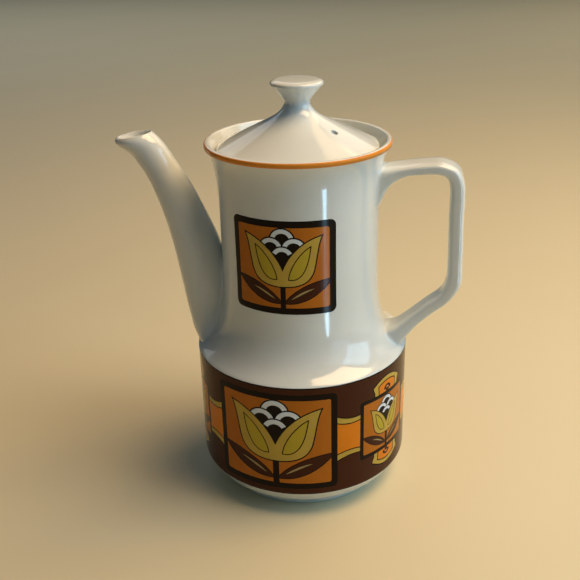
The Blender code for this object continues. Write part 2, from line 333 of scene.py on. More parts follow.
def section(row, sides, squareness):
    """A ring between an outer and an inner point of the XZ plane, with a half-width in Y."""
    outer = Vector((row[0] + POT_AXIS_X, 0, row[1]))
    inner = Vector((row[2] + POT_AXIS_X, 0, row[3]))
    centre, across = (outer + inner) / 2, (outer - inner) / 2
    ring = []
    for i in range(sides):
        angle = 2 * math.pi * i / sides
        u = math.copysign(abs(math.cos(angle)) ** (2 / squareness), math.cos(angle))
        v = math.copysign(abs(math.sin(angle)) ** (2 / squareness), math.sin(angle))
        ring.append(centre + across * u + Vector((0, row[4] * v, 0)))
    return ring


def inset(row, wall):
    """The row of a section that lies a wall's thickness inside another."""
    outer, inner = np.array(row[:2]), np.array(row[2:4])
    shift = (outer - inner) / np.linalg.norm(outer - inner) * wall
    return (*(outer - shift), *(inner + shift), row[4] - wall)


def joint_rings(rings, reach):
    """Where a lofted piece runs into the body: (how many rings stay whole, the cuts, the skirt's rings).

    The rings come from the free end towards the body. Each line along the piece turns, along a parabola,
    from the piece's own surface into the body's, as glaze and slip fill the corner. reach(point) is the
    corner's size there. A cut is (line, first ring inside, corner, skirt's top, size, last ring outside).
    """
    sides = len(rings[0])
    skirts = [[None] * sides for _ in range(SKIRT_STEPS + 1)]
    cuts = []
    for j in range(sides):
        line = [ring[j] for ring in rings]
        heights = [on_wall(point)[0] for point in line]
        i = next(n for n, height in enumerate(heights) if height < 0)
        share = heights[i - 1] / (heights[i - 1] - heights[i])
        corner = line[i - 1].lerp(line[i], share)
        size = reach(corner)
        walked, n, last = 0.0, i, corner
        while walked < size and n > 0:
            n -= 1
            step = (line[n] - last).length
            if walked + step > size:
                last = last.lerp(line[n], (size - walked) / step)
                break
            walked += step
            last = line[n]
        cuts.append((j, i, corner, last, size, n))
    whole = min(cut[5] for cut in cuts)
    for j, i, corner, top, size, _ in cuts:
        _, _, normal = on_wall(corner)
        along_ring = rings[i][(j + 1) % sides] - rings[i][j - 1]
        along_line = rings[i - 1][j] - rings[i][j]
        out = along_ring.cross(along_line).normalized()
        centre = sum(rings[i], Vector()) / sides
        if out.dot(corner - centre) < 0:
            out = -out
        out = (out - normal * out.dot(normal)).normalized()
        for s in range(SKIRT_STEPS + 1):
            t = s / SKIRT_STEPS
            _, foot, normal = on_wall(corner + out * (size * t * t))
            skirts[s][j] = foot + (top - corner) * (1 - t) ** 2 - normal * (SINK * t)
    return whole, cuts, skirts


def lofted(name, rings, ends):
    bm = bmesh.new()
    rows = [[bm.verts.new(point) for point in ring] for ring in rings]
    for above, below in zip(rows, rows[1:] + rows[:1] if ends == "looped" else rows[1:]):
        for j in range(len(above)):
            k = (j + 1) % len(above)
            bm.faces.new((above[j], above[k], below[k], below[j]))
    if ends == "capped":
        bm.faces.new(rows[0][::-1])
        bm.faces.new(rows[-1])
    bmesh.ops.recalc_face_normals(bm, faces=bm.faces)
    mesh = bpy.data.meshes.new(name)
    bm.to_mesh(mesh)
    bm.free()
    mesh.shade_smooth()
    return new_object(name, mesh)


def rings_to_body(rings, reach):
    """A piece's rings, spread evenly along each of its lines down to its skirt, then the skirt's rings."""
    whole, cuts, skirts = joint_rings(rings, reach)
    sides = len(rings[0])
    kept = max(whole - 2, 1)
    between = 8  # rows of faces from the last whole ring to the skirt
    lines = [None] * sides
    for j, _, _, top, _, n in cuts:
        points = [rings[m][j] for m in range(kept, n + 1)] + [top]
        lengths = np.cumsum([0] + [(b - a).length for a, b in zip(points, points[1:])])
        wanted = np.linspace(0, lengths[-1], between + 1)[1:-1]
        line = []
        for w in wanted:
            m = min(int(np.searchsorted(lengths, w, side="right")) - 1, len(points) - 2)
            share = (w - lengths[m]) / max(lengths[m + 1] - lengths[m], 1e-9)
            line.append(points[m].lerp(points[m + 1], share))
        lines[j] = line
    spread = [[lines[j][m] for j in range(sides)] for m in range(between - 1)]
    deep = [point - on_wall(point)[2] * BURIED for point in skirts[-1]]
    return rings[: kept + 1] + spread + skirts + [deep]


# ---------------------------------------------------------------- porcelain pieces

def make_body():
    body = turned("glazed_body", body_outline())
    around = [(0.0, 0.0)]
    for degrees in range(0, 360, 60):
        a = math.radians(degrees)
        around.append((STRAINER_PITCH * math.cos(a), STRAINER_PITCH * math.sin(a)))
    holes = [
        (Vector((POT_AXIS_X - 0.0430, y, STRAINER_Z + z)), (1, 0, 0), STRAINER_HOLE_R, 0.0160)
        for y, z in around
    ]
    return drilled(body, holes)


def make_lid():
    lid = turned("glazed_lid", lid_outline())
    vent = Vector((math.cos(VENT_ANGLE), math.sin(VENT_ANGLE), 0)) * VENT_FROM_AXIS
    place = Vector((POT_AXIS_X, 0, dome_height(VENT_FROM_AXIS))) + vent
    return drilled(lid, [(place, (0, 0, 1), VENT_R, 0.0200)])


def held_out(point):
    """The point or, where it lies deep in the body or beyond, a point just under the wall's outside."""
    height, foot, normal = on_wall(point)
    return point if height > -BURIED else foot - normal * BURIED


def make_spout():
    # Each row: outer edge x, z; inner edge x, z; half-width. The mouth is first and the root last.
    outside = [
        (-0.1013, 0.1988, -0.0803, 0.2023, 0.0086),
        (-0.0924, 0.1898, -0.0745, 0.1963, 0.0089),
        (-0.0856, 0.1797, -0.0698, 0.1890, 0.0093),
        (-0.0799, 0.1660, -0.0611, 0.1745, 0.0105),
        (-0.0757, 0.1520, -0.0542, 0.1600, 0.0116),
        (-0.0722, 0.1360, -0.0470, 0.1430, 0.0129),
        (-0.0697, 0.1200, -0.0420, 0.1255, 0.0138),
        (-0.0672, 0.1030, -0.0360, 0.1060, 0.0147),
        (-0.0654, 0.0940, -0.0330, 0.0955, 0.0165),
        (-0.0636, 0.0880, -0.0330, 0.0890, 0.0192),
        (-0.0611, 0.0847, -0.0340, 0.0857, 0.0220),
        (-0.0575, 0.0828, -0.0340, 0.0845, 0.0205),
    ]
    lip = [
        (-0.1004, 0.1996, -0.0810, 0.2029, 0.0078),
        (-0.0992, 0.1992, -0.0818, 0.2024, 0.0070),
        (-0.0935, 0.1958, -0.0824, 0.2000, 0.0052),
        (-0.0899, 0.1915, -0.0806, 0.1955, 0.0046),
    ]
    bore = [inset(row, SPOUT_WALL) for row in outside[2:]]
    from_root = splined(outside[::-1] + lip + bore, RING_SPACING)
    rings = [section(row, SPOUT_SIDES, 2.0) for row in from_root]
    mouth = max(range(len(from_root)), key=lambda n: from_root[n][3])

    def corner_size(point):
        above_drum = point.z - DRUM_TOP_Z
        near_top = max(0.0, (point.z - 0.128) / 0.020)
        return min(0.0065 - 0.0030 * min(near_top, 1.0), max(0.0004, above_drum * 0.55))

    outer = rings_to_body(rings[: mouth + 1][::-1], corner_size)
    inner = []
    for ring in rings[mouth + 1 :]:
        inner.append(ring)
        if all(on_wall(point)[0] < -0.0006 for point in ring):
            break
    held = [[held_out(point) for point in ring] for ring in inner]
    return lofted("glazed_spout", outer[::-1] + held, "looped")


def make_handle():
    # Each row: outer edge x, z; inner edge x, z; half-width. The upper root is first.
    rows = splined([
        (0.0390, 0.1872, 0.0390, 0.1602, 0.0108),
        (0.0440, 0.1874, 0.0440, 0.1668, 0.0104),
        (0.0500, 0.1881, 0.0492, 0.1775, 0.0100),
        (0.0575, 0.1892, 0.0570, 0.1829, 0.0097),
        (0.0680, 0.1905, 0.0675, 0.1844, 0.0094),
        (0.0770, 0.1906, 0.0755, 0.1843, 0.0091),
        (0.0845, 0.1872, 0.0787, 0.1825, 0.0086),
        (0.0879, 0.1795, 0.0801, 0.1784, 0.0083),
        (0.0886, 0.1720, 0.0805, 0.1715, 0.0080),
        (0.0886, 0.1600, 0.0806, 0.1600, 0.0077),
        (0.0892, 0.1360, 0.0812, 0.1360, 0.0076),
        (0.0886, 0.1210, 0.0808, 0.1246, 0.0076),
        (0.0840, 0.1135, 0.0786, 0.1182, 0.0076),
        (0.0740, 0.1045, 0.0690, 0.1095, 0.0076),
        (0.0665, 0.0973, 0.0605, 0.1018, 0.0080),
        (0.0612, 0.0905, 0.0540, 0.0965, 0.0088),
        (0.0570, 0.0835, 0.0460, 0.0930, 0.0098),
        (0.0510, 0.0770, 0.0400, 0.0870, 0.0102),
    ], RING_SPACING)
    rings = [section(row, HANDLE_SIDES, HANDLE_SQUARENESS) for row in rows]
    middle = len(rings) // 2

    def corner_size(point):
        return min(0.0026, max(0.0008, (point.z - DRUM_TOP_Z) * 0.6))

    upper = rings_to_body(rings[middle::-1], corner_size)
    lower = rings_to_body(rings[middle:], corner_size)
    return lofted("glazed_handle", upper[::-1] + lower[1:], "capped")


body = make_body()
lid = make_lid()
spout = make_spout()
handle = make_handle()

# ---------------------------------------------------------------- the print, drawn flat and then wrapped

BROWN, BLACK, ORANGE, BRIGHT, OLIVE, PETAL, WHITE_AND_COOL_SHEEN, LEAF, TAN, BLUSH = range(10)


def arc(centre, radius, start, end, count=24):
    angles = np.radians(np.linspace(start, end, count))
    return [(centre[0] + radius * math.cos(a), centre[1] + radius * math.sin(a)) for a in angles]


def disc(centre, radius):
    return arc(centre, radius, 0, 360, 41)[:-1]


def ring_part(centre, inner, outer, start, end):
    return arc(centre, outer, start, end) + arc(centre, inner, end, start)


def rounded(low, high, corner):
    """A rectangle with rounded corners."""
    (x0, y0), (x1, y1) = low, high
    points = []
    for x, y, start in ((x1, y1, 0), (x0, y1, 90), (x0, y0, 180), (x1, y0, 270)):
        cx = x - math.copysign(corner, x - (x0 + x1) / 2)
        cy = y - math.copysign(corner, y - (y0 + y1) / 2)
        points += arc((cx, cy), corner, start, start + 90, 8)
    return points


def bent(start, pull_start, pull_end, end, count=18):
    """A Bezier curve without its last point."""
    t = (np.arange(count) / count)[:, None]
    p = [np.array(point, float) for point in (start, pull_start, pull_end, end)]
    first_half = p[0] * (1 - t) ** 3 + 3 * p[1] * t * (1 - t) ** 2
    curve = first_half + 3 * p[2] * t ** 2 * (1 - t) + p[3] * t ** 3
    return [tuple(point) for point in curve]


def widened(points, width):
    """A closed outline moved outwards by a width, for the line around a shape."""
    p = np.array(points)
    area = np.sum(p[:, 0] * np.roll(p[:, 1], -1) - np.roll(p[:, 0], -1) * p[:, 1])
    ahead = np.roll(p, -1, axis=0) - p
    ahead /= np.linalg.norm(ahead, axis=1)[:, None]
    behind = np.roll(ahead, 1, axis=0)
    normals = np.stack([ahead[:, 1] + behind[:, 1], -ahead[:, 0] - behind[:, 0]], axis=1)
    normals *= 2 / np.maximum((normals ** 2).sum(axis=1), 0.5)[:, None]  # no spikes at sharp corners
    return [tuple(q) for q in p + normals * width * math.copysign(1, area)]


def mirrored(points, middle=0.0):
    return [(2 * middle - x, y) for x, y in points]


def tulip(x_mid, y_low, half_width, height, line, opening):
    """A stylised tulip on a stem with two leaves, in a frame of this size: (outline, colour) pairs.

    opening is how far its cup opens, as a share of the widest one drawn here.
    """
    usual_half_width, usual_height = 0.0253, 0.0445  # the frame that the scallops' radii are given for
    scale = 0.5 * (half_width / usual_half_width + height / usual_height)

    def at(x, y):
        return x_mid + x * half_width, y_low + y * height

    def path(*pieces):
        return [at(*point) for piece in pieces for point in bent(*piece)]

    def opened(*pieces):
        scaled = [[(x * opening, 0.275 + (y - 0.275) * opening) for x, y in piece] for piece in pieces]
        return path(*scaled)

    shapes = []
    leaf = path(
        ((0.03, 0.06), (0.25, 0.24), (0.62, 0.345), (1.04, 0.35)),
        ((1.04, 0.35), (0.80, 0.18), (0.42, 0.035), (0.03, 0.06)),
    )
    slit = path(
        ((0.17, 0.108), (0.31, 0.185), (0.48, 0.235), (0.66, 0.245)),
        ((0.66, 0.245), (0.50, 0.212), (0.33, 0.150), (0.17, 0.108)),
    )
    for shape, colour in ((widened(leaf, line * 0.7), BLACK), (leaf, LEAF), (slit, TAN)):
        shapes += [(shape, colour), (mirrored(shape, x_mid), colour)]
    stem = 0.056
    shapes.append(([at(-stem, -0.05), at(stem, -0.05), at(stem, 0.32), at(-stem, 0.32)], BLACK))
    shapes.append(([at(0, 0.44), at(0.46, 0.80), at(0.2, 0.9), at(-0.2, 0.9), at(-0.46, 0.80)], BLACK))
    # Each row of scallops: places, then the white band's two radii in mm and its ends in degrees
    scallops = (
        (((0.0, 0.845),), 3.9, 6.2, 14),
        (((-0.240, 0.732), (0.240, 0.732)), 3.9, 6.1, 10),
        (((0.0, 0.632),), 3.5, 5.8, 28),
    )
    for places, inner, outer, ends in scallops:
        inner, outer = (0.001 * scale * r for r in (inner, outer))
        shapes += [(disc(at(*place), outer + line * 1.2), BLACK) for place in places]
        shapes += [(ring_part(at(*place), inner, outer, ends, 180 - ends), WHITE_AND_COOL_SHEEN) for place in places]
    right = opened(
        ((0.0, 0.46), (0.13, 0.66), (0.40, 0.835), (0.81, 0.892)),
        ((0.81, 0.892), (0.735, 0.80), (0.71, 0.65), (0.665, 0.53)),
        ((0.665, 0.53), (0.62, 0.37), (0.47, 0.272), (0.0, 0.272)),
    )
    cup = right + mirrored(right[1:], x_mid)[::-1][: len(right) - 1]
    shapes += [(widened(cup, line), BLACK), (cup, OLIVE)]
    petal = opened(
        ((0.575, 0.760), (0.53, 0.55), (0.42, 0.34), (0.135, 0.365)),
        ((0.135, 0.365), (0.15, 0.50), (0.38, 0.70), (0.575, 0.760)),
    )
    for shape, colour in ((widened(petal, line * 0.8), BLACK), (petal, PETAL)):
        shapes += [(shape, colour), (mirrored(shape, x_mid), colour)]
    return shapes


def framed_tulip(x_mid, y_low, y_high, half_width, border, corner, line, opening=1.0):
    """A tulip panel: black frame, orange ground, tulip."""
    low, high = (x_mid - half_width, y_low), (x_mid + half_width, y_high)
    ground_low, ground_high = (low[0] + border, low[1] + border), (high[0] - border, high[1] - border)
    ground = rounded(ground_low, ground_high, corner * 0.4)
    shapes = [(rounded(low, high, corner), BLACK), (ground, ORANGE)]
    height = y_high - y_low - 2 * border
    drawn = tulip(x_mid + 0.018 * half_width, y_low + border, half_width - border, height, line, opening)
    left, right = x_mid - half_width + border * 0.5, x_mid + half_width - border * 0.5
    bottom = y_low + border * 0.5
    for points, colour in drawn:
        shapes.append(([(min(max(x, left), right), max(y, bottom)) for x, y in points], colour))
    return shapes


def frame_over(x_mid, y_low, y_high, half_width, border, corner):
    """The sides of the frame again, as two bars, so that the leaves stop at them."""
    bars = []
    for side in (-1, 1):
        outer, inner = (x_mid + side * (half_width - border * share) for share in (0.3, 1.0))
        low, high = y_low + corner, y_high - corner
        bars.append(([(outer, low), (inner, low), (inner, high), (outer, high)], BLACK))
    return bars


def crest(x_mid, edge, up, line):
    """The rounded ornament above or below a small panel. up is 1 above and -1 below."""
    def at(x, y):
        return x_mid + 0.001 * x, edge + up * 0.001 * y

    outer = [at(-10.2, -1.0)] + [at(-10.4, 2.0), at(-11.8, 5.4)]
    outer += [at(x, 9.6 - 4.0 * (x / 11.2) ** 2) for x in np.linspace(-10.6, 10.6, 21)]
    outer += [at(11.8, 5.4), at(10.4, 2.0), at(10.2, -1.0)]
    dome = [at(x, 6.6 - 1.8 * (x / 7.3) ** 2) for x in np.linspace(-7.3, 7.3, 17)]
    inner = [at(-6.9, -1.0)] + dome + [at(6.9, -1.0)]
    shapes = [(widened(outer, line), BLACK), (outer, OLIVE)]
    shapes += [(widened(inner, line), BLACK), (inner, BRIGHT)]
    cap = [at(x, 2.0 + 0.78 * y) for x, y in arc((0, 0), 3.0, -20, 200, 25)]
    core = [at(x, 1.9 + 0.85 * y) for x, y in arc((0, 0), 1.4, -30, 210, 21)]
    neck = [at(-0.9, -1.0), at(0.9, -1.0), at(1.6, 2.0), at(-1.6, 2.0)]
    return shapes + [(cap, LEAF), (core, BLUSH), (neck, LEAF)]


def ribbon(x0, x1, near, far, line):
    """A piece of ribbon from x0 to x1: orange, with olive edges.

    near and far are how far the olive edges' sides lie from the ribbon's middle at x0, halfway and at x1.
    """
    count = 17
    xs = np.linspace(x0, x1, count)
    way = np.linspace(0, 1, count)
    near, far = (np.polyval(np.polyfit((0, 0.5, 1), sides, 2), way) for sides in (near, far))

    def between(low, high):
        return list(zip(xs, RIBBON_Z + low)) + list(zip(xs[::-1], RIBBON_Z + high[::-1]))

    shapes = []
    for sign in (1, -1):
        shapes.append((between(sign * (near - line), sign * (far + line)), BLACK))
        shapes.append((between(sign * near, sign * far), OLIVE))
    return shapes + [(between(line - near, near - line), BRIGHT)]


def inside(points, outline):
    """Which of these points lie inside a closed outline."""
    x, y = points[:, 0], points[:, 1]
    found = np.zeros(len(points), bool)
    outline = np.array(outline)
    for (ax, ay), (bx, by) in zip(outline, np.roll(outline, -1, axis=0)):
        if ay == by:
            continue
        crosses = ((ay > y) != (by > y)) & (x < (bx - ax) * (y - ay) / (by - ay) + ax)
        found ^= crosses
    return found


def divided(outline):
    """The closed outline with points added, so that no side is a long chord once it is wrapped."""
    points = []
    for a, b in zip(outline, outline[1:] + outline[:1]):
        count = max(1, math.ceil(math.dist(a, b) / PRINT_GRID))
        dx, dy = b[0] - a[0], b[1] - a[1]
        points += [(a[0] + dx * i / count, a[1] + dy * i / count) for i in range(count)]
    return points


def drawn_flat(edge, shapes, close_rows=()):
    """Triangles of a flat drawing: (points, triangles, colour of each). Later shapes cover earlier ones.

    close_rows are heights that get a row of points of their own, where the wall below is tightly curved.
    """
    edge = divided(edge)
    shapes = [(divided(outline), colour) for outline, colour in shapes]
    edge_points = np.array(edge)
    low, high = edge_points.min(axis=0), edge_points.max(axis=0)
    points, lines = [], []
    for outline in [edge] + [shape for shape, _ in shapes]:
        first = len(points)
        points += [Vector(point) for point in outline]
        lines += [(first + i, first + (i + 1) % len(outline)) for i in range(len(outline))]
    counts = np.maximum(2, np.ceil((high - low) / PRINT_GRID)).astype(int)
    grid_x = np.linspace(low[0], high[0], counts[0] + 1)[1:-1]
    grid_y = np.linspace(low[1], high[1], counts[1] + 1)[1:-1]
    grid = np.array([(x, y) for x in grid_x for y in [*grid_y, *close_rows]])
    points += [Vector(point) for point in grid[inside(grid, edge)]]
    verts, _, faces, _, _, _ = delaunay_2d_cdt(points, lines, [], 0, 1e-7)
    flat = np.array([tuple(v) for v in verts])
    triangles = np.array([tuple(face) for face in faces])
    middles = flat[triangles].mean(axis=1)
    kept = inside(middles, edge)
    triangles, middles = triangles[kept], middles[kept]
    colours = np.full(len(triangles), shapes[0][1])
    for outline, colour in shapes:
        box = np.array(outline)
        near = np.all((middles > box.min(axis=0)) & (middles < box.max(axis=0)), axis=1)
        index = np.nonzero(near)[0]
        colours[index[inside(middles[index], outline)]] = colour
    return flat, triangles, colours


OUTSIDE_Z = WALL_OUTLINE[::-1, 1]
OUTSIDE_R = WALL_OUTLINE[::-1, 0]


def wall_radius(z):
    return np.interp(z, OUTSIDE_Z, OUTSIDE_R)


def wrapped(name, drawings, reference):
    """Flat drawings laid round the pot. Each is (middle angle, points, triangles, colours)."""
    verts, faces, slots, normals = [], [], [], []
    for middle, flat, triangles, colours in drawings:
        first = len(verts)
        angle = middle + flat[:, 0] / reference
        z = flat[:, 1]
        slope = (wall_radius(z + 1e-4) - wall_radius(z - 1e-4)) / 2e-4
        size = np.sqrt(1 + slope ** 2)
        around = np.stack([np.cos(angle) / size, np.sin(angle) / size, -slope / size], axis=1)
        r = wall_radius(z)
        base = np.stack([POT_AXIS_X + r * np.cos(angle), r * np.sin(angle), z], axis=1)
        top = base + around * PRINT_PROUD
        verts += [tuple(p) for p in top]
        normals += [tuple(n) for n in around]
        faces += [tuple(int(i) + first for i in face) for face in triangles]
        slots += [int(c) for c in colours]
        sides = np.concatenate([triangles[:, [0, 1]], triangles[:, [1, 2]], triangles[:, [2, 0]]])
        owner = np.tile(np.arange(len(triangles)), 3)
        known = {}
        for n, (a, b) in enumerate(sides):
            known.setdefault((min(a, b), max(a, b)), []).append((int(a), int(b), int(owner[n])))
        rim = [uses[0] for uses in known.values() if len(uses) == 1]
        under = {}
        for a, b, face in rim:
            for v in (a, b):
                if v not in under:
                    under[v] = len(verts)
                    verts.append(tuple(base[v] - around[v] * PRINT_PROUD))
                    normals.append(tuple(around[v]))
            faces.append((b + first, a + first, under[a], under[b]))
            slots.append(int(colours[face]))
    mesh = bpy.data.meshes.new(name)
    mesh.from_pydata(verts, [], faces)
    mesh.update()
    mesh.polygons.foreach_set("material_index", slots)
    mesh.shade_smooth()
    mesh.normals_split_custom_set_from_vertices(normals)
    return new_object(name, mesh)


def make_neck_print(name, middle):
    half = NECK_R * PANEL_ANGLE / 2
    border, corner, line = 0.0036, 0.0034, 0.00070
    edge = rounded((-half, PANEL_BOTTOM_Z), (half, PANEL_TOP_Z), corner)
    panel = (0.0, PANEL_BOTTOM_Z, PANEL_TOP_Z, half, border)
    shapes = [(edge, BLACK)]
    shapes += framed_tulip(*panel, corner, line)
    shapes += frame_over(*panel, 0.0050)
    return wrapped(name, [(middle, *drawn_flat(edge, shapes))], NECK_R)


def make_base_print():
    half = DRUM_R * math.pi / 2
    fillet_rows = list(np.arange(BAND_BOTTOM_Z + 0.0009, DRUM_BOTTOM_Z + DRUM_FILLET, 0.0004))
    edge = [(-half, BAND_BOTTOM_Z), (half, BAND_BOTTOM_Z)] + [(half, z) for z in fillet_rows]
    edge += [(half, BAND_TOP_Z), (-half, BAND_TOP_Z)] + [(-half, z) for z in fillet_rows[::-1]]
    shapes = [(edge, BROWN)]
    line = 0.00070
    for low, high in ((BAND_TOP_Z - 0.0007, BAND_TOP_Z), (BAND_BOTTOM_Z, BAND_BOTTOM_Z + 0.0005)):
        shapes.append(([(-half, low), (half, low), (half, high), (-half, high)], BLACK))
    large_low, large_high, large_half, large_border = 0.0195, 0.0794, 0.03475, 0.0035
    small_low, small_high, small_half, small_border = 0.0313, 0.0687, 0.0200, 0.0024
    small_at = DRUM_R * SMALL_PANEL_TURN
    tucked = 0.001  # how far a ribbon runs in under a panel
    for side in (-1, 1):
        start, end = side * (large_half - tucked), side * (small_at - small_half + tucked)
        shapes += ribbon(start, end, (0.0108, 0.0088, 0.0096), (0.0143, 0.0116, 0.0118), line)
        start, end = side * (small_at + small_half - tucked), side * half
        shapes += ribbon(start, end, (0.0096, 0.0093, 0.0092), (0.0118, 0.0115, 0.0114), line)
    for side in (-1, 1):
        for edge_z, up in ((small_high, 1), (small_low, -1)):
            shapes += crest(side * small_at + 0.0008, edge_z, up, line)
        panel = (side * small_at, small_low, small_high, small_half, small_border)
        shapes += framed_tulip(*panel, 0.0020, 0.00050, 0.9)
        shapes += frame_over(*panel, 0.0030)
    panel = (0.0, large_low, large_high, large_half, large_border)
    shapes += framed_tulip(*panel, 0.0028, 0.00075)
    shapes += frame_over(*panel, 0.0044)
    flat = drawn_flat(edge, shapes, fillet_rows)
    halves = [(BAND_MIDDLE, *flat), (BAND_MIDDLE + math.pi, *flat)]
    return wrapped("base_band_print", halves, DRUM_R)


def make_rim_line():
    """The banded line: a thin film over the outer edge of the rim."""
    low, high, corner = LIP_Z + 0.0001, RIM_Z, 0.0013
    film = 0.00006  # how far the line stands out of the glaze
    corner_r, corner_z = RIM_R - corner, high - corner
    outline = [(RIM_R + film, low)]
    for a in np.radians(np.linspace(0, 52, 12)):
        out_r, out_z = (corner + film) * math.cos(a), (corner + film) * math.sin(a)
        outline.append((corner_r + out_r, corner_z + out_z))
    inner = []
    for r, z in outline:
        if z < corner_z:
            inner.append((r - 2.5 * film, z))
        else:
            inner.append((r - 2.5 * film * 0.9, z - film))
    return turned("rim_line_enamel", outline + inner[::-1], closed_ends=False)


neck_front = make_neck_print("neck_print_front", FRONT_PANEL_MIDDLE)
neck_back = make_neck_print("neck_print_back", FRONT_PANEL_MIDDLE + math.pi)
band = make_base_print()
rim_line = make_rim_line()

# ---------------------------------------------------------------- materials

class Nodes:
    """Small helper for one material's node tree."""

    def __init__(self, name):
        self.material = bpy.data.materials.new(name)
        self.material.use_nodes = True
        self.tree = self.material.node_tree
        self.shader = self.tree.nodes["Principled BSDF"]
        self.place = self.tree.nodes.new("ShaderNodeTexCoord").outputs["Object"]

    def new(self, kind, links=(), **settings):
        node = self.tree.nodes.new(kind)
        for key, value in settings.items():
            setattr(node, key, value)
        for socket, source in dict(links).items():
            if hasattr(source, "is_output"):
                self.tree.links.new(source, node.inputs[socket])
            else:
                node.inputs[socket].default_value = source
        return node

    def noise(self, scale, detail=3.0, roughness=0.5, where=None):
        links = {"Vector": where or self.place, "Scale": scale, "Detail": detail, "Roughness": roughness}
        return self.new("ShaderNodeTexNoise", links).outputs["Fac"]

    def ramp(self, value, low, high, to_low=0.0, to_high=1.0):
        links = {"Value": value, "From Min": low, "From Max": high, "To Min": to_low, "To Max": to_high}
        return self.new("ShaderNodeMapRange", links, clamp=True).outputs["Result"]

    def maths(self, operation, a, b):
        return self.new("ShaderNodeMath", {0: a, 1: b}, operation=operation).outputs[0]

    def mix(self, share, a, b):
        node = self.new("ShaderNodeMix", data_type="RGBA")
        for index, source in ((0, share), (6, a), (7, b)):
            if hasattr(source, "is_output"):
                self.tree.links.new(source, node.inputs[index])
            else:
                node.inputs[index].default_value = source
        return node.outputs[2]

    def bump(self, height, strength, distance):
        links = {"Height": height, "Strength": strength, "Distance": distance}
        return self.new("ShaderNodeBump", links).outputs["Normal"]

    def link(self, source, socket):
        self.tree.links.new(source, self.shader.inputs[socket])

    def set(self, **values):
        for key, value in values.items():
            self.shader.inputs[key.replace("_", " ")].default_value = value


def rgba(r, g, b):
    return (r, g, b, 1.0)


def make_porcelain():
    n = Nodes("glazed_porcelain")
    cloud = n.ramp(n.noise(22.0, 2.0), 0.35, 0.65)
    tint = n.mix(cloud, rgba(0.672, 0.725, 0.722), rgba(0.702, 0.750, 0.748))
    pooled = n.ramp(n.noise(160.0, 2.0), 0.58, 0.75, 0.0, 0.35)
    tint = n.mix(pooled, tint, rgba(0.655, 0.700, 0.680))
    cells = n.new("ShaderNodeTexVoronoi", {"Vector": n.place, "Scale": 55.0, "Randomness": 1.0})
    dot = n.ramp(cells.outputs["Distance"], 0.018, 0.030, 1.0, 0.0)
    chosen = n.ramp(n.new("ShaderNodeSeparateColor", {0: cells.outputs["Color"]}).outputs[0], 0.90, 0.91)
    speck = n.maths("MULTIPLY", dot, chosen)
    n.link(n.mix(speck, tint, rgba(0.12, 0.09, 0.06)), "Base Color")
    n.link(n.ramp(n.noise(70.0, 4.0), 0.3, 0.7, 0.075, 0.125), "Roughness")
    ripple = n.maths("ADD", n.noise(38.0, 1.0), n.maths("MULTIPLY", n.noise(420.0, 2.0), 0.05))
    n.link(n.bump(ripple, 0.18, 0.0006), "Normal")
    n.set(IOR=1.52, Coat_Weight=0.35, Coat_Roughness=0.04, Specular_IOR_Level=0.5)
    return n.material


def make_biscuit():
    n = Nodes("unglazed_foot")
    grain = n.noise(1400.0, 4.0, 0.7)
    n.link(n.mix(grain, rgba(0.60, 0.55, 0.46), rgba(0.74, 0.70, 0.62)), "Base Color")
    n.link(n.ramp(grain, 0.3, 0.7, 0.65, 0.85), "Roughness")
    n.link(n.bump(grain, 0.5, 0.0002), "Normal")
    return n.material


def make_enamel(name, colour, deeper, roughness=0.16):
    """A screen-printed enamel: density that varies a little, and the screen's fine grain."""
    n = Nodes(name)
    density = n.ramp(n.noise(60.0, 4.0, 0.6), 0.30, 0.70)
    grain = n.ramp(n.noise(2600.0, 2.0), 0.40, 0.62, 0.0, 0.35)
    share = n.maths("MAXIMUM", n.maths("MULTIPLY", density, 0.6), grain)
    n.link(n.mix(share, rgba(*colour), rgba(*deeper)), "Base Color")
    n.link(n.ramp(n.noise(900.0, 3.0), 0.3, 0.7, roughness - 0.03, roughness + 0.04), "Roughness")
    height = n.maths("ADD", n.noise(38.0, 1.0), n.maths("MULTIPLY", n.noise(1500.0, 2.0), 0.03))
    n.link(n.bump(height, 0.18, 0.0006), "Normal")
    n.set(IOR=1.5, Specular_IOR_Level=0.12)
    return n.material


porcelain = make_porcelain()
biscuit = make_biscuit()
ENAMELS = {
    BROWN: make_enamel("enamel_brown", (0.062, 0.016, 0.005), (0.048, 0.012, 0.004)),
    BLACK: make_enamel("enamel_black", (0.005, 0.002, 0.001), (0.008, 0.003, 0.002)),
    ORANGE: make_enamel("enamel_orange", (0.510, 0.160, 0.013), (0.430, 0.128, 0.009)),
    BRIGHT: make_enamel("enamel_ribbon_orange", (0.800, 0.240, 0.011), (0.700, 0.195, 0.008)),
    OLIVE: make_enamel("enamel_olive", (0.560, 0.385, 0.066), (0.485, 0.330, 0.054)),
    PETAL: make_enamel("enamel_inner_petal", (0.530, 0.400, 0.036), (0.455, 0.340, 0.028)),
    # White enamel of the scallops: white of its own, with its blue tint partly a painted cool sheen
    WHITE_AND_COOL_SHEEN: make_enamel("enamel_white_painted_cool_sheen", (0.740, 0.820, 0.880), (0.690, 0.770, 0.830)),
    LEAF: make_enamel("enamel_leaf_brown", (0.056, 0.014, 0.005), (0.043, 0.011, 0.004)),
    TAN: make_enamel("enamel_tan", (0.380, 0.300, 0.130), (0.330, 0.260, 0.110)),
    BLUSH: make_enamel("enamel_blush", (0.640, 0.250, 0.100), (0.560, 0.210, 0.075)),
}
line_orange = make_enamel("enamel_rim_orange", (0.800, 0.300, 0.040), (0.680, 0.230, 0.026), 0.18)

for piece in (body, lid, spout, handle):
    piece.data.materials.clear()
    piece.data.materials.append(porcelain)
body.data.materials.append(biscuit)
for polygon in body.data.polygons:
    if polygon.center.z < STANDING_Z and polygon.normal.z < -0.5:
        polygon.material_index = 1
for piece in (neck_front, neck_back, band):
    for colour in range(len(ENAMELS)):
        piece.data.materials.append(ENAMELS[colour])
rim_line.data.materials.append(line_orange)

# ---------------------------------------------------------------- pieces and their CAD nodes

